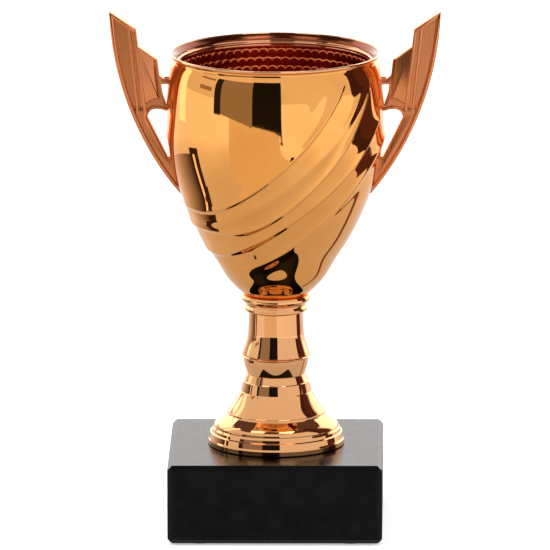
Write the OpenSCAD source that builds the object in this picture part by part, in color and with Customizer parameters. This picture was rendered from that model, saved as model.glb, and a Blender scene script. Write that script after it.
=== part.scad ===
// Cup trophy: a double-walled bowl with two wing handles on a turned stem,
// clamped to a square stone block by one threaded rod.
// Millimetres. +Z is up, the front faces -Y, the handles point along X, and
// the origin is the middle of the face that the trophy stands on.

/* [Base] */
// Side of the square stone block
base_side = 60; // [52:1:80]
// Height of the stone block
base_height = 22.3; // [18:0.1:30]
// Chamfer along the block's edges
base_chamfer = 1.3; // [0.5:0.1:2]
// Diameter of each felt pad
pad_diameter = 12; // [8:1:14]
// Thickness of the felt pads
pad_thickness = 0.5; // [0.4:0.1:2]
// Diameter of the nut recess under the block
recess_diameter = 20; // [18:1:24]
// Depth of the nut recess under the block
recess_depth = 9; // [8.5:0.5:11]

/* [Foot and stem] */
// Radius of the foot where it stands on the block
foot_radius = 19.2; // [18:0.1:22]
// Height of the foot
foot_height = 20.2; // [19.5:0.1:22]
// Height of the knop above the foot
knop_height = 4.8; // [4.4:0.1:6]
// Radius of the thin ring over the knop
ring_radius = 9.95; // [9.6:0.05:11]
// Thickness of the thin ring over the knop
ring_thickness = 0.8; // [0.6:0.1:1.2]
// Height of the waisted stem
stem_height = 12.2; // [10:0.1:20]
// Radius of the stem at its waist
stem_waist_radius = 7.6; // [7.2:0.1:8]
// Height of the two-ring collar under the bowl
collar_height = 4.9; // [4.5:0.1:6]
// Wall thickness of the hollow turned pieces
turned_wall = 1.3; // [1:0.1:1.5]

/* [Bowl] */
// Radius of the bowl at its widest
belly_radius = 30.5; // [30:0.1:31]
// Radius of the bowl just under its rim
neck_radius = 28.3; // [28.1:0.1:28.6]
// Wall thickness of the bowl's shell
bowl_wall = 1.4; // [1.2:0.1:1.5]
// Radius of the rolled bead on the rim
bead_radius = 0.65; // [0.5:0.05:0.8]
// Largest height of the swirling ridges
swirl_relief = 0.9; // [0.4:0.1:1.1]
// Wall thickness of the liner inside the bowl
liner_wall = 0.9; // [0.7:0.1:1.1]

/* [Handles] */
// Thickness of the raised frame of each handle
handle_thickness = 5.6; // [5:0.1:6.4]
// Thickness of the sunk panel in each upper wing
panel_thickness = 3.4; // [2.8:0.1:3.8]
// Thickness of the flat inner wing and the arm
wing_thickness = 4.6; // [4:0.1:4.9]
// Width of the raised rib along each handle's outer edge
rib_width = 1.4; // [1:0.1:1.6]
// Radius of the pegs that hold each handle on the bowl
peg_radius = 0.9; // [0.7:0.1:1]

/* [Fasteners] */
// Diameter of the threaded rod
rod_diameter = 5; // [4:0.5:5]
// Width across the flats of the nuts
nut_width = 8; // [8:0.5:9]
// Height of the nuts
nut_height = 4; // [3:0.5:4]

/* [Hidden] */
$fn = 96;

// Colours
copper = "#c8824a";
satin_copper = "#b9744a";
liner_red = "#8c3a22";
stone_black = "#1b1b1d";
felt_green = "#22352b";
zinc = "#b8bcc0";

// Heights of the stacked pieces
base_z = pad_thickness;
foot_z = base_z + base_height;
knop_z = foot_z + foot_height;
ring_z = knop_z + knop_height;
stem_z = ring_z + ring_thickness;
collar_z = stem_z + stem_height;
bowl_z = collar_z + collar_height;
// The handles are drawn for a foot that stands 22 mm above the table
handle_lift = foot_z - 22;

// Fits
bore_radius = rod_diameter/2 + 0.2;
thread_clearance = 0.03;
fit = 0.05;
socket_radius = 5.6;
spigot_length = 2;
web = 1.5;
overlap = 0.5;
past = 1;

// Bowl, in heights above its seat on the collar
seat_radius = 8.7;
belly_height = 48.6;
neck_height = 66.4;
bead_height = 68.6;
skin_top = 64.6;
floor_height = 3.1;
skin_columns = 64;
lower_rows = 28;
upper_rows = 8;

// Handle outline, in x and row height for the right-hand handle
arc_radius = 86;
arc_centre = [-39.6, 148.6];
wing_tip = [46.4, 145.9];
wing_corner = [39, 141];
step_corner = [38.8, 136.2];
inner_corner = [32.9, 132];
notch_side = [32.4, 127.6];
notch_floor = [30.9, 126.2];
arm_tip_height = 93.6;
inside_bowl = 24;

module ring(outer, inner, height) {
    difference() {
        cylinder(r = outer, h = height);
        translate([0, 0, -past]) cylinder(r = inner, h = height + 2*past);
    }
}

module hex_nut() {
    difference() {
        cylinder(d = nut_width/cos(30), h = nut_height, $fn = 6);
        translate([0, 0, -past]) cylinder(r = rod_diameter/2 + thread_clearance, h = nut_height + 2*past);
    }
}

// Points on a cubic curve through a and d, steered by b and c
function cubic(a, b, c, d, steps) = [for (i = [0:steps]) let (t = i/steps, s = 1 - t)
    s*s*s*a + 3*s*s*t*b + 3*s*t*t*c + t*t*t*d];

// ---- Base -------------------------------------------------------------

pad_offset = base_side/2 - pad_diameter/2 - 3;
washer_thickness = 1.2;
lock_washer_thickness = 1.3;
washer_radius = 7.5;
lock_washer_radius = 4.6;
lock_washer_gap = 1.2;
recess_top = base_z + recess_depth;
base_nut_z = recess_top - washer_thickness - lock_washer_thickness - nut_height;
rod_bottom = base_nut_z - 1.2;

module felt_pads() {
    color(felt_green)
    for (x = [-1, 1], y = [-1, 1])
        translate([x*pad_offset, y*pad_offset, 0]) cylinder(d = pad_diameter, h = pad_thickness);
}

// Square outline with its corners cut off at 45 degrees
module chamfered_square(width, height, cut) {
    polygon([[cut - width/2, 0], [width/2 - cut, 0], [width/2, cut], [width/2, height - cut],
        [width/2 - cut, height], [cut - width/2, height], [-width/2, height - cut], [-width/2, cut]]);
}

module base_block() {
    color(stone_black)
    translate([0, 0, base_z])
    difference() {
        intersection() {
            translate([0, -base_side/2, 0]) linear_extrude(base_height)
                chamfered_square(base_side, base_side, base_chamfer);
            translate([0, base_side/2, 0]) rotate([90, 0, 0]) linear_extrude(base_side)
                chamfered_square(base_side, base_height, base_chamfer);
            translate([-base_side/2, 0, 0]) rotate([90, 0, 90]) linear_extrude(base_side)
                chamfered_square(base_side, base_height, base_chamfer);
        }
        translate([0, 0, -past]) cylinder(d = recess_diameter, h = recess_depth + past);
        cylinder(r = bore_radius + 0.4, h = base_height + past);
    }
}

// A spring washer: a flat ring split by one slot
module split_washer() {
    difference() {
        ring(lock_washer_radius, rod_diameter/2 + 0.1, lock_washer_thickness);
        translate([0, -lock_washer_gap/2, -past])
            cube([washer_radius, lock_washer_gap, lock_washer_thickness + 2*past]);
    }
}

module base_washer() {
    color(zinc)
    translate([0, 0, recess_top - washer_thickness]) ring(washer_radius, bore_radius, washer_thickness);
}

module base_lock_washer() {
    color(zinc)
    translate([0, 0, recess_top - washer_thickness - lock_washer_thickness]) split_washer();
}

module base_nut() {
    color(zinc) translate([0, 0, base_nut_z]) hex_nut();
}

// ---- Foot and stem ----------------------------------------------------

// A solid of revolution with the rod's bore, a socket in its top and a spigot under its web
module turned_piece(outline, height, spigot) {
    difference() {
        union() {
            rotate_extrude() polygon(concat([[0, 0]], outline, [[0, height]]));
            translate([0, 0, -spigot]) cylinder(r = socket_radius - fit, h = spigot + overlap);
        }
        translate([0, 0, -spigot - past]) cylinder(r = bore_radius, h = height + spigot + 2*past);
        translate([0, 0, web]) cylinder(r = socket_radius, h = height);
    }
}

// The foot's skirt rises in a rolled edge, a swelling band, a cone and two small steps
foot_skirt = concat(
    [[foot_radius, 0.2], [foot_radius, 1.6], [18.9, 2.1], [18.6, 3.5], [18.1, 3.7], [18, 4.5], [17.5, 5.1]],
    cubic([17.6, 5.3], [17.3, 6.6], [15.6, 7.6], [13.9, 8.6], 6),
    [[13.7, 8.9], [13.7, 9.3]],
    cubic([13.6, 9.4], [12.8, 11], [11.2, 12.6], [10.1, 15.1], 6),
    [[9.95, 15.3], [9.3, 18], [9.1, 18.2], [8.2, foot_height]]);
foot_cavity_height = 14.5;

module foot() {
    color(copper)
    translate([0, 0, foot_z])
    difference() {
        rotate_extrude() polygon(concat([[0, 0], [foot_radius - 0.2, 0]], foot_skirt, [[0, foot_height]]));
        translate([0, 0, foot_height - spigot_length - 0.1]) cylinder(r = socket_radius, h = foot_height);
        translate([0, 0, -past]) cylinder(r = bore_radius, h = foot_height + 2*past);
        rotate_extrude()
            polygon([[0, -past], [foot_radius - turned_wall, -past], [foot_radius - turned_wall, 1.6],
                [16, 4.9], [12.3, 8], [8.7, foot_cavity_height - 0.5], [8, foot_cavity_height],
                [0, foot_cavity_height]]);
    }
}

module knop() {
    color(copper)
    translate([0, 0, knop_z])
        turned_piece([[8.1, 0], [8.75, 2], [9.1, 3.7], [9.2, knop_height]], knop_height, spigot_length);
}

module stem_ring() {
    color(copper)
    translate([0, 0, ring_z])
    difference() {
        rotate_extrude()
            polygon([[0, 0], [ring_radius - 0.35, 0], [ring_radius, 0.3], [ring_radius, ring_thickness - 0.3],
                [ring_radius - 0.35, ring_thickness], [0, ring_thickness]]);
        translate([0, 0, -past]) cylinder(r = socket_radius, h = ring_thickness + 2*past);
    }
}

module stem() {
    color(copper)
    translate([0, 0, stem_z])
        turned_piece(concat(
            cubic([9.6, 0], [8.8, 2.4], [stem_waist_radius + 0.4, 4.4], [stem_waist_radius + 0.25, 6.2], 10),
            [[stem_waist_radius, stem_height]]), stem_height, spigot_length + ring_thickness);
}

module collar() {
    color(copper)
    translate([0, 0, collar_z])
        turned_piece([[7.8, 0], [8.8, 0.5], [8.8, 1.2], [8.3, 1.9], [8.3, 2.4], [9.3, 3.1], [9.75, 3.7],
            [9.7, 4.2], [9.35, collar_height]], collar_height, spigot_length);
}

// ---- Bowl -------------------------------------------------------------

bowl_curve = concat(
    cubic([seat_radius, 0], [16, 6.1], [belly_radius, 29], [belly_radius, belly_height], lower_rows),
    [for (i = [1:upper_rows]) cubic([belly_radius, belly_height], [belly_radius, 56.5],
        [30.4, 63.8], [neck_radius, neck_height], upper_rows)[i]]);

function clamp01(t) = max(0, min(1, t));
function ease(t) = let (u = clamp01(t)) u*u*(3 - 2*u);
function wrap(angle) = angle - 360*floor((angle + 180)/360);

// Each ridge of the swirl starts level at the left, climbs to the right and may level out again:
// [height, start angle, climb, bend angle, levelling span, relief, width, roundness, fade in, fade out]
ridges = [
    [33.4, -40, 0.0064, 120, 1, 0.35, 2.4, 1.6, [12, 30], [40, 60]],
    [26.9, -55, 0.0040, 120, 1, 0.65, 2.4, 0.3, [-130, -95], [60, 80]],
    [24.3, -50, 0.0034, 120, 1, 0.35, 1.8, 1.6, [-75, -40], [60, 80]],
    [21.3, -33, 0.0046, 120, 1, 0.65, 2.0, 0.6, [-130, -95], [60, 80]],
    [13.7, -60, 0.0023, 55, 50, 0.80, 2.2, 0.3, [-130, -95], [85, 104]],
    [9.6, -40, 0.0029, 52, 45, 0.55, 1.8, 0.4, [-80, -40], [85, 104]]];
// The ridges round the back only begin past the right handle
back_fade_in = [-86, -60];

function ridge_height(r, a) = let (climb = max(0, min(a, r[3]) - r[1]), level = max(0, min(a - r[3], r[4])))
    r[0] + r[2]*climb*climb + 2*r[2]*climb*(level - level*level/(2*r[4]));
function ridge_fade(r, a, side) = let (from = side == 0 ? r[8] : [max(r[8][0], back_fade_in[0]),
    max(r[8][1], back_fade_in[1])])
    ease((a - from[0])/(from[1] - from[0]))*ease((r[9][1] - a)/(r[9][1] - r[9][0]));
// A ridge falls off faster below its crest than above it
below_crest = 0.5;
function ridge_shape(d, width, round) =
    exp((round - sqrt(d*d + round*round))/(width*(d < 0 ? below_crest : 1)));

// Flat seats for the handles: no relief close to either side where a handle touches the bowl
handle_seats = [[28, 41], [53, 66]];
function seat_band(z, seat) = ease((z - seat[0] + 3)/3)*ease((seat[1] + 3 - z)/3);
function seat_fade(a, z) = 1 - ease((20 - abs(abs(a) - 90))/8)*
    max([for (seat = handle_seats) seat_band(z, seat)]);

// Height of the relief at an angle from the front and a height above the seat
function relief(angle, z) = let (a = wrap(angle)) swirl_relief*seat_fade(a, z)*ease((skin_top - z)/4)*
    ease((z - 3)/5)*sum([for (side = [0, 180], r = ridges) let (b = wrap(a - side))
        r[5]*ridge_fade(r, b, side)*ridge_shape(z - ridge_height(r, b), r[6], r[7])]);
function sum(v, i = 0) = i == len(v) ? 0 : v[i] + sum(v, i + 1);

skin_curve = [for (p = bowl_curve) if (p.y < skin_top - 0.8) p];
neck_curve = [for (p = bowl_curve) if (p.y > skin_top + 0.2) p];
skin_edge = [29.55, skin_top];
bead_centre = neck_radius + bead_radius;

// The shell's outer surface with its swirl, as one closed body
module bowl_skin() {
    rows = concat(skin_curve, [skin_edge]);
    n = skin_columns;
    points = [for (p = rows, j = [0:n - 1]) let (a = 360*j/n, r = p.x + relief(a, p.y))
        [r*sin(a), -r*cos(a), p.y]];
    sides = [for (i = [0:len(rows) - 2], j = [0:n - 1]) let (k = (j + 1)%n)
        each [[i*n + j, i*n + n + k, i*n + k], [i*n + j, i*n + n + j, i*n + n + k]]];
    caps = [[for (j = [0:n - 1]) j], [for (j = [n - 1:-1:0]) (len(rows) - 1)*n + j]];
    polyhedron(points, concat(sides, caps));
}

// Inside of the shell: the outer curve moved inwards by the wall
function inset(curve, wall) = [for (i = [1:len(curve) - 2])
    let (t = curve[i + 1] - curve[i - 1], s = t/norm(t)) curve[i] + wall*[-s.y, s.x]];
inner_curve = [for (p = inset(bowl_curve, bowl_wall)) if (p.y > floor_height && p.y < 60) p];
lip_inner = 27.65;

module bowl_cavity() {
    rotate_extrude($fn = 180)
        polygon(concat([[0, floor_height], [inner_curve[0].x - 0.4, floor_height]], inner_curve,
            [[28.35, skin_top - 1.2], [lip_inner, neck_height + 0.2], [lip_inner, 67.4], [28.35, 68.3],
            [28.35, 71], [0, 71]]));
}

peg_heights = [99.2 + handle_lift, 126.1 + handle_lift];

module peg_bores(radius) {
    for (z = peg_heights, side = [-1, 1])
        translate([0, 0, z]) rotate([0, side*90, 0]) translate([0, 0, 20]) cylinder(r = radius, h = 15);
}

// The plain rim band overlaps the skin below it and ends inside the bead
rim_outline = concat([[20, skin_top - 0.8], [29.3, skin_top - 0.8], [29.3, skin_top], skin_edge], neck_curve,
    [[neck_radius + 0.1, bead_height - 0.9], [bead_centre, bead_height - 0.4], [bead_centre, bead_height],
    [20, bead_height]]);

module bowl_shell() {
    color(copper)
    difference() {
        translate([0, 0, bowl_z]) {
            difference() {
                union() {
                    bowl_skin();
                    rotate_extrude($fn = 180) polygon(rim_outline);
                    rotate_extrude($fn = 180)
                        translate([bead_centre, bead_height]) circle(bead_radius, $fn = 24);
                    translate([0, 0, -spigot_length])
                        cylinder(r = socket_radius - fit, h = spigot_length + overlap);
                }
                bowl_cavity();
                translate([0, 0, -spigot_length - past]) cylinder(r = bore_radius, h = 10);
            }
        }
        peg_bores(peg_radius + fit);
    }
}

liner_outside = concat(
    cubic([7.2, floor_height], [13.4, 9], [25.8, 31], [26.2, 52], 20), [[27.35, neck_height - 0.1]]);
liner_lip = [[27.5, 67.2], [28.2, 68.2], [28.25, 68.5], [28.1, 68.5]];

liner_floor_radius = 6.7;

module bowl_liner() {
    floor_top = floor_height + liner_wall;
    wall = inset(concat([[4, floor_height]], liner_outside, [[27.4, 67]]), liner_wall);
    inside = [for (i = [len(wall) - 2:-1:0]) if (wall[i].y > floor_top + 0.2) wall[i]];
    color(liner_red)
    translate([0, 0, bowl_z])
    difference() {
        rotate_extrude() polygon(concat([[0, floor_height]], liner_outside, liner_lip,
            [[26.65, neck_height + 0.4]], inside, [[liner_floor_radius, floor_top], [0, floor_top]]));
        translate([0, 0, floor_height - past]) cylinder(r = bore_radius, h = 2*past + liner_wall);
    }
}

// ---- Cup fasteners ----------------------------------------------------

cup_washer_z = bowl_z + floor_height + liner_wall;
cup_washer_radius = 6;
cup_lock_z = cup_washer_z + washer_thickness;
cup_nut_z = cup_lock_z + lock_washer_thickness;
rod_top = cup_nut_z + nut_height + 1.5;

module tie_rod() {
    color(zinc) translate([0, 0, rod_bottom]) cylinder(d = rod_diameter, h = rod_top - rod_bottom);
}

module cup_washer() {
    color(zinc) translate([0, 0, cup_washer_z]) ring(cup_washer_radius, bore_radius, washer_thickness);
}

module cup_lock_washer() {
    color(zinc) translate([0, 0, cup_lock_z]) split_washer();
}

module cup_nut() {
    color(zinc) translate([0, 0, cup_nut_z]) hex_nut();
}

// ---- Handles ----------------------------------------------------------

module outer_disc(shrink) {
    translate(arc_centre) circle(arc_radius - shrink, $fn = 360);
}

// Outline of the whole handle, running into the bowl
module handle_outline() {
    intersection() {
        outer_disc(0);
        polygon([wing_tip + [3, 2], wing_tip, wing_corner, step_corner, inner_corner, notch_side,
            notch_floor, [inside_bowl, notch_floor.y], [inside_bowl, arm_tip_height],
            [60, arm_tip_height], [60, wing_tip.y]]);
    }
}

// The open loop between the arm and the bowl, and the small slot above it
module handle_gaps() {
    polygon(concat([[26, 104.4], [30.2, 104.4]],
        cubic([35.7, 115.6], [36, 117.6], [33.6, 119], [30.4, 117.5], 8), [[26, 117.5]]));
    polygon([[28, 125], [31.9, 125], [31.6, 122.6], [30.6, 119.6], [28, 119.6]]);
}

// Straight rib between two points
module rib(from, to, width) {
    along = to - from;
    translate(from) rotate(atan2(along.y, along.x)) translate([0, -width/2]) square([norm(along), width]);
}

// Raised parts: the outer rib, the top rib and the two ribs that divide the wings
module handle_ribs() {
    intersection() {
        handle_outline();
        union() {
            difference() {
                outer_disc(0);
                outer_disc(rib_width);
            }
            rib(wing_tip, wing_corner + [-1, -0.7], 2);
            rib([39.5, 143], [36.5, 116], 0.9);
            rib([41.3, 144], [38.2, 115.5], 0.7);
        }
    }
}

// The sunk panel of the upper wing
module wing_panel() {
    intersection() {
        outer_disc(rib_width);
        polygon([[41.5, 142.3], [38.2, 115.5], [60, 115.5], [60, 155], [41.5, 142.3]]);
    }
}

module plate(thickness) {
    rotate([90, 0, 0]) translate([0, 0, -thickness/2]) linear_extrude(thickness) children();
}

// Solid of revolution that each handle's inner edge is cut to
module bowl_envelope() {
    translate([0, 0, bowl_z]) rotate_extrude()
        polygon(concat([[0, 0]], [for (p = bowl_curve) p + [fit, 0]],
            [[neck_radius + 2, neck_height + 2], [0, 71]]));
}

module right_handle() {
    difference() {
        translate([0, 0, handle_lift]) union() {
            plate(handle_thickness) difference() {
                handle_ribs();
                handle_gaps();
            }
            plate(wing_thickness) difference() {
                handle_outline();
                handle_gaps();
                wing_panel();
            }
            plate(panel_thickness) difference() {
                handle_outline();
                handle_gaps();
            }
        }
        bowl_envelope();
    }
    for (i = [0, 1])
        translate([peg_starts[i], 0, peg_heights[i]]) rotate([0, 90, 0])
            cylinder(r = peg_radius, h = peg_ends[i] - peg_starts[i]);
}

// How far in each peg reaches, where it ends inside the handle, and where its clip sits
peg_starts = [25.1, 27.2];
peg_ends = [30.5, 31];
clip_starts = [25.5, 27.4];
clip_radius = 1.7;
clip_thickness = 0.4;

module handle_right() {
    color(satin_copper) right_handle();
}

module handle_left() {
    color(satin_copper) mirror([1, 0, 0]) right_handle();
}

module handle_clips() {
    color(zinc)
    for (i = [0, 1], side = [0, 1])
        mirror([side, 0, 0]) translate([clip_starts[i], 0, peg_heights[i]]) rotate([0, 90, 0])
            ring(clip_radius, peg_radius + thread_clearance, clip_thickness);
}

felt_pads();
base_block();
base_washer();
base_lock_washer();
base_nut();
tie_rod();
foot();
knop();
stem_ring();
stem();
collar();
bowl_shell();
bowl_liner();
handle_left();
handle_right();
handle_clips();
cup_washer();
cup_lock_washer();
cup_nut();
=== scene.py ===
"""Looks of the cup trophy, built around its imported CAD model.

Shapes are worked out in millimetres in the model's own frame and scaled to metres when a mesh is made.
"""
import math

import bmesh
import bpy
import numpy as np
from mathutils import Matrix, Vector

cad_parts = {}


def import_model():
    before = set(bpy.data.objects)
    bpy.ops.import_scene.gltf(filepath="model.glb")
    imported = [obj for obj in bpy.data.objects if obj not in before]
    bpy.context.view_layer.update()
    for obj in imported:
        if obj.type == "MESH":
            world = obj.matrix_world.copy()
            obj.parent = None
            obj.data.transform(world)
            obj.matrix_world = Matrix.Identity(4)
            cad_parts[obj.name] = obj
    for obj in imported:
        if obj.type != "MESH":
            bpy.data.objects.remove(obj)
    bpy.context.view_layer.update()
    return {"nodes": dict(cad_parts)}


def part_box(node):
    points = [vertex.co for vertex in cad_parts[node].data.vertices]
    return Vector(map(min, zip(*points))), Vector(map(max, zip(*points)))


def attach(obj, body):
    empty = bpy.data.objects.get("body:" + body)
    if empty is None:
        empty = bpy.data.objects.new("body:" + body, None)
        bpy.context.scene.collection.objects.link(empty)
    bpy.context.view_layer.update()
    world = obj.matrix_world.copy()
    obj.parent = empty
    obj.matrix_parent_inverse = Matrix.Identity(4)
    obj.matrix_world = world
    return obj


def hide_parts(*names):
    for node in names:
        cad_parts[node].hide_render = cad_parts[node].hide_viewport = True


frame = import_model()

MM = 0.001
ROOT = "root"


def low(node):
    """Lowest corner of a CAD node, in mm."""
    return np.array(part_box(node)[0]) / MM


def high(node):
    """Highest corner of a CAD node, in mm."""
    return np.array(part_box(node)[1]) / MM


# Heights of the stacked pieces, in mm
FOOT_Z = high("base_block")[2]
KNOP_Z = high("foot")[2]
RING_Z = low("stem_ring")[2]
STEM_Z = high("stem_ring")[2]
COLLAR_Z = high("stem")[2]
BOWL_Z = high("collar")[2]

# Fits shared by the stacked pieces, in mm
ROD_BORE = 2.7
SOCKET = 5.6
SPIGOT = 5.55
SPIGOT_LENGTH = 2
WEB = 1.5


# ---- Camera -----------------------------------------------------------

CAMERA_DISTANCE = 2600
CAMERA_AZIMUTH = 1.0
CAMERA_ELEVATION = 12.26
CAMERA_ROLL = -0.17
CAMERA_LENS = 606
CAMERA_TARGET = Vector((-0.22, 0, 71.0))


def direction(azimuth, elevation):
    """Unit vector from the object, with azimuth 0 to the front and growing to the right."""
    a, e = math.radians(azimuth), math.radians(elevation)
    return Vector((math.sin(a) * math.cos(e), -math.cos(a) * math.cos(e), math.sin(e)))


def add_camera():
    """The camera at the photo's angle: far away, with a long lens."""
    camera = bpy.data.objects.new("camera", bpy.data.cameras.new("camera"))
    bpy.context.scene.collection.objects.link(camera)
    out = direction(CAMERA_AZIMUTH, CAMERA_ELEVATION)
    aim = (-out).to_track_quat("-Z", "Y").to_matrix().to_4x4()
    place = Matrix.Translation((CAMERA_TARGET + out * CAMERA_DISTANCE) * MM)
    camera.matrix_world = place @ aim @ Matrix.Rotation(math.radians(CAMERA_ROLL), 4, "Z")
    camera.data.lens = CAMERA_LENS
    camera.data.clip_end = 100
    bpy.context.scene.camera = camera


# ---- Mesh helpers -----------------------------------------------------

# Half the angle at a corner past which it isn't rounded
NEARLY_STRAIGHT = math.radians(86)


def cubic(a, b, c, d, steps):
    """Points on the cubic curve from a to d, steered by b and c."""
    t = np.linspace(0, 1, steps + 1)[:, None]
    s = 1 - t
    a, b, c, d = (np.array(p, float) for p in (a, b, c, d))
    return s ** 3 * a + 3 * s * s * t * b + 3 * s * t * t * c + t ** 3 * d


def rounded(points, radius, steps=4):
    """A closed outline with its corners rounded, by up to radius where the sides allow it."""
    points = [np.array(p, float) for p in points]
    out = []
    for i, corner in enumerate(points):
        before, after = points[i - 1], points[(i + 1) % len(points)]
        u, v = before - corner, after - corner
        lu, lv = np.linalg.norm(u), np.linalg.norm(v)
        cosine = np.clip(u @ v / (lu * lv), -1, 1)
        half = math.acos(cosine) / 2
        if half > NEARLY_STRAIGHT:
            out.append(corner)
            continue
        cut = min(radius / math.tan(half), 0.45 * lu, 0.45 * lv)
        start, end = corner + u / lu * cut, corner + v / lv * cut
        for t in np.linspace(0, 1, steps + 1):
            out.append((1 - t) ** 2 * start + 2 * t * (1 - t) * corner + t * t * end)
    return np.array(out)


def solid(name, verts, faces):
    """A new object in the scene from points and faces."""
    mesh = bpy.data.meshes.new(name)
    mesh.from_pydata(np.asarray(verts).tolist(), [], [[int(i) for i in face] for face in faces])
    piece = bpy.data.objects.new(name, mesh)
    bpy.context.scene.collection.objects.link(piece)
    return piece


def new_object(name, bm):
    """A new object in the scene from a bmesh, which is freed."""
    mesh = bpy.data.meshes.new(name)
    bm.to_mesh(mesh)
    bm.free()
    piece = bpy.data.objects.new(name, mesh)
    bpy.context.scene.collection.objects.link(piece)
    return piece


def add_piece(name, verts, faces, material, replaces):
    """A smooth-shaded mesh from points in mm, riding on the body and standing for a CAD node."""
    piece = solid(name, np.asarray(verts) * MM, faces)
    mesh = piece.data
    mesh.polygons.foreach_set("use_smooth", [True] * len(mesh.polygons))
    mesh.materials.append(material)
    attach(piece, ROOT)
    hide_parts(replaces)
    return piece


def weigh_normals(piece):
    """Keeps flats flat beside their narrow rounded edges."""
    modifier = piece.modifiers.new("weighted normals", "WEIGHTED_NORMAL")
    modifier.keep_sharp = False
    modifier.weight = 90


def lathe(profile, columns, relief=None):
    """Vertices and faces of a closed (radius, height) outline turned about the Z axis."""
    profile = np.array(profile, float)
    angle = 2 * math.pi * np.arange(columns) / columns
    radius = profile[:, 0][:, None] + np.zeros(columns)
    if relief is not None:
        radius = radius + relief
    x, y = radius * np.sin(angle), -radius * np.cos(angle)
    z = profile[:, 1][:, None] + np.zeros(columns)
    verts = np.stack([x, y, z], -1).reshape(-1, 3)
    i = np.arange(len(profile))[:, None] * columns
    j = (np.arange(len(profile))[:, None] + 1) % len(profile) * columns
    k = np.arange(columns)[None, :]
    n = (k + 1) % columns
    faces = np.stack([i + k, i + n, j + n, j + k], -1).reshape(-1, 4)
    return verts, faces


def turned(name, outline, base_z, material, columns=192):
    """A turned piece: its outline is closed, counter-clockwise in (radius, height above base_z)."""
    outline = np.array(outline, float) + (0, base_z)
    verts, faces = lathe(outline, columns)
    piece = add_piece(name + "_piece", verts, faces, material, name)
    weigh_normals(piece)
    return piece


# ---- Materials --------------------------------------------------------

# Half the height over which one zone of a metal passes into the next, in metres
ZONE_EDGE = 0.00005


def new_material(name):
    """A new material with its node tree and its main shader."""
    material = bpy.data.materials.new(name)
    material.use_nodes = True
    return material, material.node_tree, material.node_tree.nodes["Principled BSDF"]


def noise(tree, scale, detail=3, stretch=(1, 1, 1)):
    """Noise in the model's own frame; scale is in cycles per metre."""
    where = tree.nodes.new("ShaderNodeTexCoord")
    mapping = tree.nodes.new("ShaderNodeMapping")
    mapping.inputs["Scale"].default_value = stretch
    texture = tree.nodes.new("ShaderNodeTexNoise")
    texture.inputs["Scale"].default_value = scale
    texture.inputs["Detail"].default_value = detail
    tree.links.new(where.outputs["Object"], mapping.inputs["Vector"])
    tree.links.new(mapping.outputs["Vector"], texture.inputs["Vector"])
    return texture.outputs["Fac"]


def ramp(tree, source, stops):
    """Colour ramp over source; stops are (place, (r, g, b))."""
    node = tree.nodes.new("ShaderNodeValToRGB")
    elements = node.color_ramp.elements
    while len(elements) < len(stops):
        elements.new(0.5)
    for element, (place, colour) in zip(elements, stops):
        element.position = place
        element.color = (*colour, 1)
    tree.links.new(source, node.inputs["Fac"])
    return node.outputs["Color"]


def spread(tree, source, to_low, to_high, from_low=0.3, from_high=0.7):
    """Source mapped from one range to another, without going past its ends."""
    node = tree.nodes.new("ShaderNodeMapRange")
    node.inputs["From Min"].default_value = from_low
    node.inputs["From Max"].default_value = from_high
    node.inputs["To Min"].default_value = to_low
    node.inputs["To Max"].default_value = to_high
    tree.links.new(source, node.inputs["Value"])
    return node.outputs["Result"]


def bump(tree, shader, source, height_mm):
    """Fine relief of the given height, seen only in the shading."""
    node = tree.nodes.new("ShaderNodeBump")
    node.inputs["Distance"].default_value = height_mm * MM
    tree.links.new(source, node.inputs["Height"])
    tree.links.new(node.outputs["Normal"], shader.inputs["Normal"])


def coated_metal(name, dark, bright, smooth, rough, grain_scale, grain_mm):
    """A metallised coat: its colour drifts between two tones, its gloss is slightly uneven."""
    material, tree, shader = new_material(name)
    shader.inputs["Metallic"].default_value = 1.0
    tone = ramp(tree, noise(tree, 45, 2), [(0.35, dark), (0.65, bright)])
    tree.links.new(tone, shader.inputs["Base Color"])
    tree.links.new(spread(tree, noise(tree, 160, 4), smooth, rough), shader.inputs["Roughness"])
    bump(tree, shader, noise(tree, grain_scale, 4), grain_mm)
    return material


def brushed_metal(name):
    """Satin copper with fine upright streaks."""
    material, tree, shader = new_material(name)
    shader.inputs["Metallic"].default_value = 1.0
    streaks = noise(tree, 5200, 2, (1, 1, 0.02))
    tone = ramp(tree, streaks, [(0.3, (0.70, 0.25, 0.10)), (0.7, (0.76, 0.285, 0.12))])
    tree.links.new(tone, shader.inputs["Base Color"])
    tree.links.new(spread(tree, streaks, 0.24, 0.31), shader.inputs["Roughness"])
    bump(tree, shader, streaks, 0.006)
    return material


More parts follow.
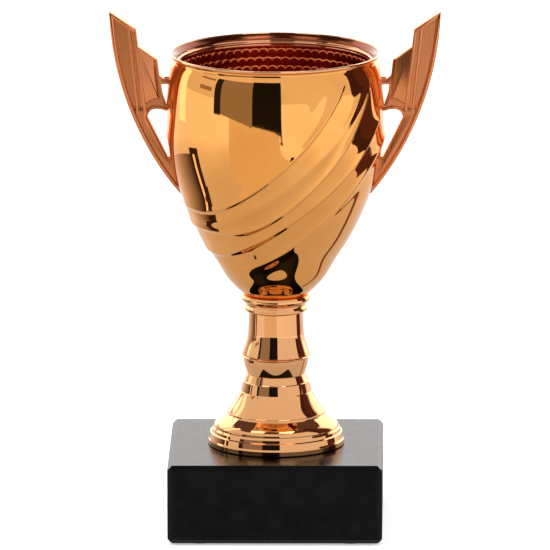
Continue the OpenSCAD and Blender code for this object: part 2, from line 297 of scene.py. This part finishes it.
def zoned_metal(name, zones, grain_scale, grain_mm):
    """Coated metal in zones, upwards: (height it starts at or None, dark, bright, roughness)."""
    material, tree, shader = new_material(name)
    shader.inputs["Metallic"].default_value = 1.0
    where = tree.nodes.new("ShaderNodeTexCoord")
    axes = tree.nodes.new("ShaderNodeSeparateXYZ")
    tree.links.new(where.outputs["Object"], axes.inputs["Vector"])
    grain = noise(tree, 90, 3)
    for start, dark, bright, roughness in zones:
        zone_tone = ramp(tree, grain, [(0.35, dark), (0.65, bright)])
        if start is None:
            tone = zone_tone
            rough = tree.nodes.new("ShaderNodeValue").outputs[0]
            rough.default_value = roughness
            continue
        edge = start * MM
        past = spread(tree, axes.outputs["Z"], 0, 1, edge - ZONE_EDGE, edge + ZONE_EDGE)
        mix = tree.nodes.new("ShaderNodeMix")
        mix.data_type = "RGBA"
        tree.links.new(past, mix.inputs["Factor"])
        tree.links.new(tone, mix.inputs["A"])
        tree.links.new(zone_tone, mix.inputs["B"])
        tone = mix.outputs["Result"]
        blend = tree.nodes.new("ShaderNodeMix")
        tree.links.new(past, blend.inputs["Factor"])
        tree.links.new(rough, blend.inputs["A"])
        blend.inputs["B"].default_value = roughness
        rough = blend.outputs["Result"]
    tree.links.new(tone, shader.inputs["Base Color"])
    tree.links.new(rough, shader.inputs["Roughness"])
    bump(tree, shader, noise(tree, grain_scale, 4), grain_mm)
    return material


def stone(name):
    """Polished black stone."""
    material, tree, shader = new_material(name)
    tone = ramp(tree, noise(tree, 220, 8), [(0.35, (0.0015, 0.0015, 0.002)), (0.75, (0.004, 0.004, 0.005))])
    tree.links.new(tone, shader.inputs["Base Color"])
    tree.links.new(spread(tree, noise(tree, 900, 5), 0.17, 0.25), shader.inputs["Roughness"])
    shader.inputs["Specular IOR Level"].default_value = 0.10
    bump(tree, shader, noise(tree, 3000, 3), 0.01)
    return material


def zinc(name):
    """Dull zinc coat of the fasteners."""
    material, tree, shader = new_material(name)
    shader.inputs["Metallic"].default_value = 1.0
    tone = ramp(tree, noise(tree, 500, 4), [(0.3, (0.50, 0.51, 0.53)), (0.7, (0.66, 0.67, 0.70))])
    tree.links.new(tone, shader.inputs["Base Color"])
    tree.links.new(spread(tree, noise(tree, 900, 4), 0.25, 0.42), shader.inputs["Roughness"])
    bump(tree, shader, noise(tree, 4000, 2), 0.01)
    return material


def felt(name):
    """Dark fibrous felt."""
    material, tree, shader = new_material(name)
    fibres = noise(tree, 2500, 6, (1, 1, 0.4))
    tree.links.new(ramp(tree, fibres, [(0.3, (0.008, 0.012, 0.010)), (0.7, (0.03, 0.04, 0.035))]),
                   shader.inputs["Base Color"])
    tree.links.new(spread(tree, fibres, 0.85, 1.0), shader.inputs["Roughness"])
    shader.inputs["Sheen Weight"].default_value = 0.3
    bump(tree, shader, fibres, 0.15)
    return material


SHELL = zoned_metal("shell_copper", [
    (None, (0.84, 0.37, 0.10), (0.90, 0.41, 0.115), 0.03),
    (BOWL_Z + 68.3, (0.80, 0.40, 0.20), (0.88, 0.47, 0.25), 0.08)], 120, 0.003)
# The liner's zones are lit and shaded copies of one copper. The scaled inner face is dark red, partly its
# own tone and partly painted shade of the cup's inside. The rolled lip edge keeps the plain copper tone.
# The flare above 67.3 mm is painted shade of its hollow cove.
LINER = zoned_metal("red_copper", [
    (None, (0.44, 0.08, 0.026), (0.66, 0.165, 0.06), 0.16),
    (BOWL_Z + 66.0, (0.70, 0.31, 0.16), (0.78, 0.36, 0.20), 0.08),
    (BOWL_Z + 67.3, (0.15, 0.038, 0.016), (0.24, 0.065, 0.028), 0.16)], 300, 0.005)
SATIN = brushed_metal("satin_copper")
ROSE = coated_metal("rose_copper", (0.80, 0.40, 0.17), (0.86, 0.44, 0.20), 0.03, 0.07, 120, 0.004)
STONE = stone("black_stone")
ZINC = zinc("zinc_steel")
FELT = felt("pad_felt")


# ---- Bowl -------------------------------------------------------------

SEAT_RADIUS = 8.7
BELLY_RADIUS = 30.46
BELLY_HEIGHT = 48.6
NECK_RADIUS = 28.3
NECK_HEIGHT = 66.4
SHOULDER_RADIUS = 28.6
SHOULDER_HEIGHT = 67.0
BEAD_RADIUS = 0.38
BEAD_CENTRE = (29.2, 68.75)
SKIN_TOP = 64.6
FLOOR_HEIGHT = 3.1
SHELL_WALL = 1.4
LINER_WALL = 0.9
SWIRL_RELIEF = 1.0

# The swirl's ridges: height above the seat, start angle, climb, bend angle, levelling span,
# relief, reach above and below the crest, roundness, then the angles of its fade in and fade out
RIDGES = [
    (33.4, -40, 0.0064, 120, 1, 0.30, 2.2, 2.0, 1.20, (12, 30), (40, 60)),
    (26.9, -55, 0.0040, 120, 1, 0.52, 3.3, 0.46, 0.20, (-130, -95), (60, 80)),
    (24.3, -50, 0.0034, 120, 1, 0.25, 1.6, 2.0, 0.90, (-75, -40), (60, 80)),
    (21.3, -33, 0.0046, 120, 1, 0.60, 2.4, 0.55, 0.20, (-130, -95), (60, 80)),
    (13.7, -60, 0.0023, 55, 50, 0.65, 2.8, 0.60, 0.20, (-130, -95), (85, 104)),
    (9.6, -40, 0.0029, 52, 45, 0.50, 1.5, 2.4, 0.20, (-80, -40), (85, 104)),
]
# The ridges round the back only begin past the right handle
BACK_FADE_IN = (-86, -60)
# Heights above the seat where the handles touch the bowl
HANDLE_SEATS = ((28, 41), (53, 66))

# The rolled inner edge of the liner's lip
LIP_ROLL = (26.95, 66.55)
LIP_ROLL_RADIUS = 0.38


def ease(t):
    """Smooth step from 0 to 1, flat at both ends."""
    t = np.clip(t, 0, 1)
    return t * t * (3 - 2 * t)


def wrap(angle):
    return (angle + 180) % 360 - 180


def ridge(angle, z, height, start, climb, bend, span, relief, above, below, roundness, fade_in, fade_out):
    rise = np.maximum(0, np.minimum(angle, bend) - start)
    level = np.clip(angle - bend, 0, span)
    crest = height + climb * rise * rise + 2 * climb * rise * (level - level * level / (2 * span))
    fade = ease((angle - fade_in[0]) / (fade_in[1] - fade_in[0]))
    fade = fade * ease((fade_out[1] - angle) / (fade_out[1] - fade_out[0]))
    d = z - crest
    upper = np.exp((roundness - np.sqrt(d * d + roundness * roundness)) / above)
    return relief * fade * np.where(d > 0, upper, np.exp(-(d / below) ** 2))


def seat_band(z, bottom, top):
    """1 between two heights, easing to 0 within 3 mm outside them."""
    return ease((z - bottom + 3) / 3) * ease((top + 3 - z) / 3)


def swirl(angle, z):
    """Relief at an angle from the front, in degrees, and a height above the bowl's seat."""
    angle = wrap(angle)
    total = sum(ridge(angle, z, *r) for r in RIDGES)
    for *shape, fade_in, fade_out in RIDGES:
        late = (max(fade_in[0], BACK_FADE_IN[0]), max(fade_in[1], BACK_FADE_IN[1]))
        total = total + ridge(wrap(angle - 180), z, *shape, late, fade_out)
    near_handle = ease((20 - np.abs(np.abs(angle) - 90)) / 8)
    seats = np.maximum(*(seat_band(z, *seat) for seat in HANDLE_SEATS))
    return SWIRL_RELIEF * total * (1 - near_handle * seats) * ease((SKIN_TOP - z) / 4) * ease((z - 3) / 5)


def ogee(z):
    """Where the bowl's lowest part swells and draws in again above the collar."""
    swell = 0.3 * np.exp(-((z - 5) / 3) ** 2) - 0.3 * np.exp(-((z - 11) / 4) ** 2)
    return swell * ease(z / 2)


def bowl_curve(lower, upper):
    """The shell's outer outline from its seat to its neck."""
    a = cubic((SEAT_RADIUS, 0), (16, 6.1), (BELLY_RADIUS, 29), (BELLY_RADIUS, BELLY_HEIGHT), lower)
    b = cubic((BELLY_RADIUS, BELLY_HEIGHT), (BELLY_RADIUS, 56.5), (30.35, 63.5),
              (SHOULDER_RADIUS, SHOULDER_HEIGHT), upper)
    return np.concatenate([a, b[1:]])


def inset(curve, wall):
    """A curve moved sideways to its left by wall."""
    t = np.gradient(curve, axis=0)
    t /= np.linalg.norm(t, axis=1)[:, None]
    return curve + wall * np.stack([-t[:, 1], t[:, 0]], -1)


def bowl_shell():
    """The outer shell with its swirl, its drawn-in neck, the rim bead and the hollow inside."""
    columns = 720
    outer = bowl_curve(230, 60)
    turn = np.radians(np.linspace(-60, 150, 15))
    bead_arc = np.array(BEAD_CENTRE) + BEAD_RADIUS * np.stack([np.cos(turn), np.sin(turn)], -1)
    neck = cubic(outer[-1], (28.2, 67.8), (28.6, 68.3), bead_arc[0], 8)[1:-1]
    inner = inset(bowl_curve(40, 14), SHELL_WALL)
    inner = inner[(inner[:, 1] > FLOOR_HEIGHT) & (inner[:, 1] < 60)][::-1]
    lip = np.array([(28.5, 68.6), (27.9, 67.8), (27.75, 67.2), (27.75, NECK_HEIGHT), (28.3, 63.4)])
    floor = np.array([(9.9, FLOOR_HEIGHT), (ROD_BORE, FLOOR_HEIGHT), (ROD_BORE, -SPIGOT_LENGTH),
                      (SPIGOT, -SPIGOT_LENGTH), (SPIGOT, 0)])
    profile = np.concatenate([outer, neck, bead_arc, lip, inner, floor])
    angle = 360 * np.arange(columns) / columns
    relief = np.zeros((len(profile), columns))
    relief[:len(outer)] = ogee(outer[:, 1])[:, None] + swirl(angle[None, :], outer[:, 1][:, None])
    verts, faces = lathe(profile + (0, BOWL_Z), columns, relief)
    return add_piece("bowl_shell_piece", verts, faces, SHELL, "bowl_shell")


# Scales of the liner's inner face: heights above the seat, how many round, and the size of each
SCALES_TOP = 65.6
SCALES_BOTTOM = 4.6
SCALES_ROUND = 66
SCALE_RISE = 2.45
SCALE_START = 0.2
SCALE_ARCH = 1.15
SCALE_DEPTH = 0.26


def scales(angle, z):
    """Depth of the liner's overlapping scales, whose round tops stand proud of the row above."""
    across = angle / 360 * SCALES_ROUND
    best = np.full(np.broadcast(angle, z).shape, -1.0)
    level = (z - SCALE_START) / SCALE_RISE
    for step in (-1, 0, 1, 2):
        row = np.floor(level) + step
        u = (across + 0.5 * (row % 2)) % 1 * 2 - 1
        arch = np.sqrt(np.maximum(0, 1 - 0.9 * u * u))
        edge = SCALE_START + row * SCALE_RISE + SCALE_ARCH * arch
        under = (edge - z) / SCALE_RISE
        best = np.where(under >= 0, np.maximum(best, 1 - under), best)
    return SCALE_DEPTH * np.clip(best, 0, 1)


def bowl_liner():
    """The inner cup with its flared lip and its scaled inner face."""
    columns = SCALES_ROUND * 10
    outside = cubic((7.2, FLOOR_HEIGHT), (13.4, 9), (25.8, 31), (26.2, 52), 40)
    outside = np.concatenate([outside, [(27.35, NECK_HEIGHT - 0.1)]])
    lip = np.array([(27.6, 67.25), (28.4, 68.25), (28.95, 68.75), (28.95, 68.9)])
    flare = cubic((28.8, 68.95), (28.2, 68.5), (27.8, 68.15), (27.38, 67.62), 10)
    turn = np.radians(np.linspace(60, 215, 10))
    edge = np.array(LIP_ROLL) + LIP_ROLL_RADIUS * np.stack([np.cos(turn), np.sin(turn)], -1)
    edge = np.concatenate([[(27.32, 67.5), (27.24, 67.35), (27.22, 67.05)], edge])
    inside = inset(outside, LINER_WALL)
    heights = np.concatenate([np.arange(66.0, 50, -0.12), np.arange(50, SCALES_BOTTOM, -0.5)])
    order = np.argsort(inside[:, 1])
    textured = np.stack([np.interp(heights, inside[order, 1], inside[order, 0]), heights], -1)
    floor_top = FLOOR_HEIGHT + LINER_WALL
    floor = np.array([(6.7, floor_top), (ROD_BORE, floor_top), (ROD_BORE, FLOOR_HEIGHT)])
    profile = np.concatenate([outside, lip, flare, edge, textured, floor])
    first = len(outside) + len(lip) + len(flare) + len(edge)
    angle = 360 * np.arange(columns) / columns
    relief = np.zeros((len(profile), columns))
    fade = ease((SCALES_TOP - heights) / 0.5) * ease((heights - SCALES_BOTTOM) / 3)
    depth = scales(angle[None, :], heights[:, None])
    relief[first:first + len(heights)] = (SCALE_DEPTH / 2 - depth) * fade[:, None]
    verts, faces = lathe(profile + (0, BOWL_Z), columns, relief)
    return add_piece("bowl_liner_piece", verts, faces, LINER, "bowl_liner")


# ---- Foot and stem ----------------------------------------------------

def hollow(outside, height, spigot, fillet):
    """Closed outline of a turned piece: rounded outside, open socket above a web, spigot below."""
    inside = [(SOCKET, height), (SOCKET, WEB), (ROD_BORE, WEB),
              (ROD_BORE, -spigot), (SPIGOT, -spigot), (SPIGOT, 0)]
    return rounded(list(outside) + inside, fillet)


def foot():
    height = KNOP_Z - FOOT_Z
    skirt = [(18.6, 0.0), (19.2, 0.25), (19.2, 1.5), (18.9, 2.0),
             (18.6, 3.5), (18.1, 3.7), (18.0, 4.5), (17.5, 5.1)]
    band = cubic((17.6, 5.3), (17.3, 6.6), (15.6, 7.6), (13.9, 8.6), 16)
    groove = [(13.7, 8.9), (13.7, 9.3)]
    cone = cubic((13.6, 9.4), (12.8, 11), (11.2, 12.6), (10.1, 15.1), 16)
    steps = [(9.95, 15.3), (9.3, 18), (9.1, 18.2), (8.2, height)]
    socket_floor = height - SPIGOT_LENGTH - 0.1
    inside = [(SOCKET, height), (SOCKET, socket_floor), (ROD_BORE, socket_floor), (ROD_BORE, 14.5),
              (8, 14.5), (8.7, 14), (12.3, 8), (16, 4.9), (17.9, 1.6), (17.9, 0)]
    outline = rounded(skirt + list(band) + groove + list(cone) + steps + inside, 0.12)
    turned("foot", outline, FOOT_Z, ROSE)


def knop():
    height = RING_Z - KNOP_Z
    side = [(8.1, 0), (8.75, 2), (9.1, 3.7), (9.2, height)]
    turned("knop", hollow(side, height, SPIGOT_LENGTH, 0.15), KNOP_Z, ROSE)


def stem_ring():
    radius, height = high("stem_ring")[0], STEM_Z - RING_Z
    outline = [(radius - 0.5, 0), (radius, 0.3), (radius, height - 0.3), (radius - 0.5, height),
               (SOCKET, height), (SOCKET, 0)]
    turned("stem_ring", rounded(outline, 0.12), RING_Z, ROSE)


def stem():
    height = COLLAR_Z - STEM_Z
    side = cubic((9.6, 0), (8.8, 2.4), (8.0, 4.4), (7.85, 6.2), 24)
    outline = hollow(list(side) + [(7.6, height)], height, SPIGOT_LENGTH + 0.8, 0.08)
    turned("stem", outline, STEM_Z, ROSE)


def collar():
    height = BOWL_Z - COLLAR_Z
    side = [(7.8, 0), (8.8, 0.5), (8.8, 1.2), (8.3, 1.9), (8.3, 2.4),
            (9.3, 3.1), (9.75, 3.7), (9.7, 4.2), (9.35, height)]
    turned("collar", hollow(side, height, SPIGOT_LENGTH, 0.2), COLLAR_Z, ROSE)


# ---- Handles ----------------------------------------------------------

# The right-hand handle in x and height, drawn for a foot that stands 22 mm above the table
LIFT = FOOT_Z - 22
ARC_RADIUS = 86
ARC_CENTRE = (-39.6, 148.6)
WING_TIP = (46.34, 145.85)
WING_CORNER = (39.0, 141.0)
STEP_CORNER = (38.8, 136.2)
INNER_CORNER = (32.9, 132.0)
RIB_HALF = 2.8
WING_HALF = 2.3
PANEL_HALF = 1.7
PEG_RADIUS = 0.9
# Height, start and end of each peg
PEGS = ((99.2, 25.1, 30.5), (126.1, 27.2, 31.0))


def outer_arc(top, bottom, shrink, steps):
    """Points down the handle's outer edge, or a line inside it."""
    z = np.linspace(top, bottom, steps + 1)
    x = ARC_CENTRE[0] + np.sqrt((ARC_RADIUS - shrink) ** 2 - (z - ARC_CENTRE[1]) ** 2)
    return np.stack([x, z], -1)


def stroke(line, width):
    """Outline of a strip of even width along a line."""
    line = np.array(line, float)
    t = np.gradient(line, axis=0)
    t /= np.linalg.norm(t, axis=1)[:, None]
    side = np.stack([-t[:, 1], t[:, 0]], -1) * width / 2
    return np.concatenate([line + side, (line - side)[::-1]])


def shrunk(outline, distance):
    """A counter-clockwise outline moved inwards."""
    ahead = np.roll(outline, -1, axis=0) - outline
    ahead /= np.linalg.norm(ahead, axis=1)[:, None]
    normal = np.stack([-ahead[:, 1], ahead[:, 0]], -1)
    both = normal + np.roll(normal, 1, axis=0)
    reach = np.maximum(np.sum(both * both, axis=1) / 2, 0.8)
    return outline + distance * both / reach[:, None]


def plate(name, outline, half, bevel):
    """A plate across the Y axis with rounded edges."""
    outline = np.array(outline, float)
    x, z = outline[:, 0], outline[:, 1]
    if np.sum(x * np.roll(z, -1) - np.roll(x, -1) * z) < 0:
        outline = outline[::-1]
    layers = []
    for turn in np.radians((90, 60, 30, 0)):
        layers.append((-half + bevel * (1 - math.sin(turn)), bevel * (1 - math.cos(turn))))
    layers += [(-y, inset_by) for y, inset_by in layers[::-1]]
    rings = [np.insert(shrunk(outline, inset_by), 1, y, axis=1) for y, inset_by in layers]
    n = len(outline)
    faces = [tuple(range(n)), tuple(range(len(rings) * n - 1, (len(rings) - 1) * n - 1, -1))]
    for k in range(len(rings) - 1):
        for i in range(n):
            j = (i + 1) % n
            faces.append((k * n + j, k * n + i, k * n + n + i, k * n + n + j))
    return solid(name, np.concatenate(rings), faces)


def combine(first, steps):
    """Joins or cuts solids in turn and returns the resulting mesh."""
    for operation, other in steps:
        modifier = first.modifiers.new(operation, "BOOLEAN")
        modifier.operation = operation
        modifier.solver = "MANIFOLD"
        modifier.object = other
    mesh = bpy.data.meshes.new_from_object(first.evaluated_get(bpy.context.evaluated_depsgraph_get()))
    for item in [first] + [other for _, other in steps]:
        bpy.data.objects.remove(item)
    return mesh


def peg(height, start, end):
    """A round peg along X, from inside the bowl into the handle."""
    bm = bmesh.new()
    bmesh.ops.create_cone(bm, cap_ends=True, segments=32, depth=end - start,
                          radius1=PEG_RADIUS, radius2=PEG_RADIUS)
    place = Matrix.Translation(((start + end) / 2, 0, height)) @ Matrix.Rotation(math.pi / 2, 4, "Y")
    bmesh.ops.transform(bm, matrix=place, verts=bm.verts)
    return new_object("peg", bm)


def handle_plates():
    """The sunk body of a handle, then the raised parts that are joined to it."""
    loop_top = cubic((35.7, 115.6), (36.0, 117.6), (33.6, 119.0), (30.4, 117.5), 12)
    body = np.concatenate([
        outer_arc(145.7, 93.8, 0.1, 60), [(26, 93.8), (26, 104.4), (30.2, 104.4)], loop_top,
        [(26, 117.5), (26, 119.6), (30.6, 119.6), (31.6, 122.6), (31.9, 125), (26, 125), (26, 126.2),
         (30.9, 126.2), (32.4, 127.6), INNER_CORNER, STEP_CORNER, WING_CORNER]])
    arm = np.concatenate([outer_arc(119, 93.9, 0.0, 40), [(26, 93.9), (26, 104.3), (30.15, 104.3)],
                          loop_top[:5] + (0.05, 0), [(36.3, 119.0)]])
    pad_end = cubic((32.3, 120.9), (33.0, 121.3), (35.0, 120.6), (37.6, 118.3), 8)
    pad = np.concatenate([[STEP_CORNER, (33.6, 132.5), (33.3, 127.5)], pad_end])
    tip, corner = np.array(WING_TIP), np.array(WING_CORNER)
    bar = np.array([tip, corner, corner + (0.1, -1.4), tip + (-1.3, -2.3)])
    rim = np.concatenate([outer_arc(145.85, 96, 0.05, 60), outer_arc(96, 144.2, 1.3, 60)])
    arch = stroke(loop_top[1:] + (0.1, 0.42), 0.75)
    return [
        plate("body", body, PANEL_HALF, 0.2),
        plate("arm", arm, WING_HALF, 0.75),
        plate("pad", pad, WING_HALF, 0.55),
        plate("bar", bar, RIB_HALF, 0.4),
        plate("rim", rim, RIB_HALF, 0.5),
        plate("rib_a", stroke([(39.3, 140.6), (36.4, 117.5)], 0.9), RIB_HALF - 0.15, 0.25),
        plate("rib_b", stroke([(41.0, 141.8), (38.4, 117)], 0.7), RIB_HALF - 0.45, 0.2),
        plate("arch", arch, WING_HALF + 0.2, 0.25)]


def bowl_envelope():
    """Solid of revolution that each handle's inner edge is cut to."""
    outline = np.concatenate([[(0.5, 0)], bowl_curve(48, 16) + (0.05, 0),
                              [(NECK_RADIUS + 2, NECK_HEIGHT + 2), (0.5, 71)]])
    return solid("envelope", *lathe(outline + (0, BOWL_Z - LIFT), 180))


def handles():
    plates = handle_plates()
    steps = [("UNION", item) for item in plates[1:]] + [("DIFFERENCE", bowl_envelope())]
    steps += [("UNION", peg(*size)) for size in PEGS]
    mesh = combine(plates[0], steps)
    verts = np.empty(len(mesh.vertices) * 3)
    mesh.vertices.foreach_get("co", verts)
    verts = verts.reshape(-1, 3) + (0, 0, LIFT)
    faces = [list(face.vertices) for face in mesh.polygons]
    for side, name in ((1, "handle_right"), (-1, "handle_left")):
        sided = [face if side > 0 else face[::-1] for face in faces]
        piece = add_piece(name + "_piece", verts * (side, 1, 1), sided, SATIN, name)
        piece.data.set_sharp_from_angle(angle=math.radians(32))


# ---- CAD nodes that keep their shape ----------------------------------

def finish_nodes():
    """Materials of the nodes that no piece replaces."""
    finishes = {"felt_pads": FELT, "base_block": STONE}
    for node in ("base_washer", "base_lock_washer", "base_nut", "tie_rod", "handle_clips",
                 "cup_washer", "cup_lock_washer", "cup_nut"):
        finishes[node] = ZINC
    for node, material in finishes.items():
        mesh = frame["nodes"][node].data
        mesh.materials.clear()
        mesh.materials.append(material)


# ---- Studio -----------------------------------------------------------

# Height of the cards' horizon above the table, in mm
CARD_HORIZON = 95
# Heights above the table of what lies on it, in metres
FLOOR_CARD_HEIGHT = 0.0002
PATCH_HEIGHT = 0.0004


def only_reflected(piece):
    """Stages a piece that shows in reflections and nowhere else."""
    piece.visible_camera = False
    piece.visible_shadow = False
    piece.visible_diffuse = False


def emission(name, colour, strength):
    """A material that only glows."""
    material = bpy.data.materials.new(name)
    material.use_nodes = True
    tree = material.node_tree
    tree.nodes.remove(tree.nodes["Principled BSDF"])
    glow = tree.nodes.new("ShaderNodeEmission")
    glow.inputs["Color"].default_value = (*colour, 1)
    glow.inputs["Strength"].default_value = strength
    tree.links.new(glow.outputs["Emission"], tree.nodes["Material Output"].inputs["Surface"])
    return material


def card(name, azimuths, elevations, distance, colour, strength=1.0, lift=0, fade_to=None):
    """A curved studio card round the object, seen only in reflections.

    Its lower edge rises by lift degrees towards its first azimuth, where its colour is fade_to."""
    columns = 12
    verts = []
    for i, a in enumerate(np.linspace(*azimuths, columns + 1)):
        for e in (elevations[0] + lift * (1 - i / columns), elevations[1]):
            out = direction(a, 0)
            height = CARD_HORIZON + distance * math.tan(math.radians(e))
            verts.append((out.x * distance, out.y * distance, height))
    faces = [(2 * i, 2 * i + 2, 2 * i + 3, 2 * i + 1) for i in range(columns)]
    piece = solid(name, np.array(verts) * MM, faces)
    material = emission(name, colour, strength)
    if fade_to:
        tree = material.node_tree
        middle = sum(azimuths) / 2
        where = tree.nodes.new("ShaderNodeTexCoord")
        along = tree.nodes.new("ShaderNodeVectorMath")
        along.operation = "DOT_PRODUCT"
        along.inputs[1].default_value = direction(middle + 90, 0)
        tree.links.new(where.outputs["Object"], along.inputs[0])
        reach = distance * MM * math.sin(math.radians(azimuths[1] - middle))
        place = spread(tree, along.outputs["Value"], 0, 1, -reach, reach)
        fade = ramp(tree, place, [(0, fade_to), (1, colour)])
        tree.links.new(fade, tree.nodes["Emission"].inputs["Color"])
    piece.data.materials.append(material)
    only_reflected(piece)


def floor_card():
    """What the metal sees of the table: a little darker than the camera does."""
    bm = bmesh.new()
    bmesh.ops.create_circle(bm, cap_ends=True, segments=64, radius=3)
    bmesh.ops.translate(bm, vec=(0, 0, FLOOR_CARD_HEIGHT), verts=bm.verts)
    piece = new_object("floor_card", bm)
    material = emission("floor_card", (1, 0.98, 0.96), 1)
    tree = material.node_tree
    where = tree.nodes.new("ShaderNodeTexCoord")
    length = tree.nodes.new("ShaderNodeVectorMath")
    length.operation = "LENGTH"
    tree.links.new(where.outputs["Object"], length.inputs[0])
    glow = spread(tree, length.outputs["Value"], 0.66, 1.3, 0.05, 0.6)
    tree.links.new(glow, tree.nodes["Emission"].inputs["Strength"])
    piece.data.materials.append(material)
    only_reflected(piece)


def floor_patch(name, azimuths, radii, colour):
    """A tinted part of the table between two radii in mm, seen only in reflections."""
    columns = 12
    verts = []
    for a in np.linspace(*azimuths, columns + 1):
        out = direction(a, 0)
        verts += [(out.x * r * MM, out.y * r * MM, PATCH_HEIGHT) for r in radii]
    faces = [(2 * i, 2 * i + 1, 2 * i + 3, 2 * i + 2) for i in range(columns)]
    piece = solid(name, verts, faces)
    piece.data.materials.append(emission(name, colour, 1))
    only_reflected(piece)


def overhead(name, sides, azimuth, elevation, distance, radius, colour, strength):
    """A flat panel of so many sides over the object, facing it; sizes in metres."""
    bm = bmesh.new()
    bmesh.ops.create_circle(bm, cap_ends=True, segments=sides, radius=radius)
    out = direction(azimuth, elevation)
    turn = out.to_track_quat("Z", "Y").to_matrix().to_4x4()
    bmesh.ops.transform(bm, matrix=Matrix.Translation(out * distance) @ turn, verts=bm.verts)
    piece = new_object(name, bm)
    piece.data.materials.append(emission(name, colour, strength))
    only_reflected(piece)


def world():
    sky = bpy.data.worlds.new("studio")
    bpy.context.scene.world = sky
    sky.use_nodes = True
    background = sky.node_tree.nodes["Background"]
    background.inputs["Color"].default_value = (1.0, 0.98, 0.96, 1)
    background.inputs["Strength"].default_value = 0.95


def floor():
    """The plain pale floor; its faint glow keeps the shadow beside the block soft."""
    half = 6.0
    corners = [(-half, -half, 0), (half, -half, 0), (half, half, 0), (-half, half, 0)]
    piece = solid("floor", corners, [(0, 1, 2, 3)])
    material, _, shader = new_material("floor")
    shader.inputs["Base Color"].default_value = (0.93, 0.93, 0.93, 1)
    shader.inputs["Roughness"].default_value = 0.9
    shader.inputs["Emission Color"].default_value = (1, 1, 1, 1)
    shader.inputs["Emission Strength"].default_value = 0.4
    piece.data.materials.append(material)


def key_light():
    """One large soft light from above the left shoulder of the camera."""
    key = bpy.data.lights.new("key", "AREA")
    key.size = 1.6
    key.energy = 8
    lamp = bpy.data.objects.new("key", key)
    bpy.context.scene.collection.objects.link(lamp)
    out = direction(-30, 65)
    lamp.location = out * 1.6
    lamp.rotation_euler = out.to_track_quat("Z", "Y").to_euler()
    lamp.visible_camera = False
    lamp.visible_glossy = False


def reflected_room():
    """What the mirror metal sees: a bright backdrop, dark and brown shapes, a lamp and the ceiling."""
    floor_card()
    card("backdrop_glow", (125, 235), (-2, 40), 1500, (1, 0.97, 0.95), 2.3)
    card("dark_opening", (-23, 7), (-7.8, 29), 660, (0.012, 0.012, 0.014), lift=0.9)
    card("brown_screen", (-58, -23), (-7.3, 27), 680, (0.34, 0.30, 0.27), lift=2.6)
    card("thin_dark_bar", (-66, -58), (-5, 27), 670, (0.03, 0.025, 0.025))
    card("left_shelves", (-88, -68), (20, 24), 670, (0.40, 0.32, 0.26))
    card("left_box", (-86, -70), (6, 10), 670, (0.40, 0.32, 0.26))
    card("left_strip", (-119, -107), (-14, 50), 650, (1, 0.97, 0.9), 2.0)
    card("left_stand", (-98, -85), (-37, -9), 170, (0.05, 0.03, 0.03))
    card("left_lamp", (-93.4, -90.4), (-28, -12), 165, (1, 0.92, 0.75), 1.5)
    card("left_shade", (-140, -96), (-33, -11), 148, (0.08, 0.05, 0.045), fade_to=(1.0, 0.92, 0.88))
    card("right_dark", (96, 117), (-24, 58), 240, (0.10, 0.035, 0.03))
    card("right_curtain", (84, 96), (-8, 58), 240, (0.06, 0.025, 0.025))
    floor_patch("left_shadow", (-112, -84), (125, 185), (0.04, 0.025, 0.025))
    floor_patch("right_line", (116, 122), (48, 400), (0.22, 0.10, 0.08))
    floor_patch("front_tint", (-48, 4), (190, 2500), (0.92, 0.82, 0.66))
    overhead("ceiling", 48, 180, 78, 2.6, 2.1, (0.12, 0.08, 0.07), 1.0)
    overhead("right_box", 4, 48, 74, 2.2, 0.45, (1, 0.98, 0.95), 3.0)
    overhead("left_box", 4, -70, 68, 2.2, 0.45, (1, 0.98, 0.95), 2.5)


add_camera()
bowl_shell()
bowl_liner()
foot()
knop()
stem_ring()
stem()
collar()
handles()
finish_nodes()
world()
floor()
key_light()
reflected_room()
bpy.context.scene.view_settings.view_transform = "Standard"
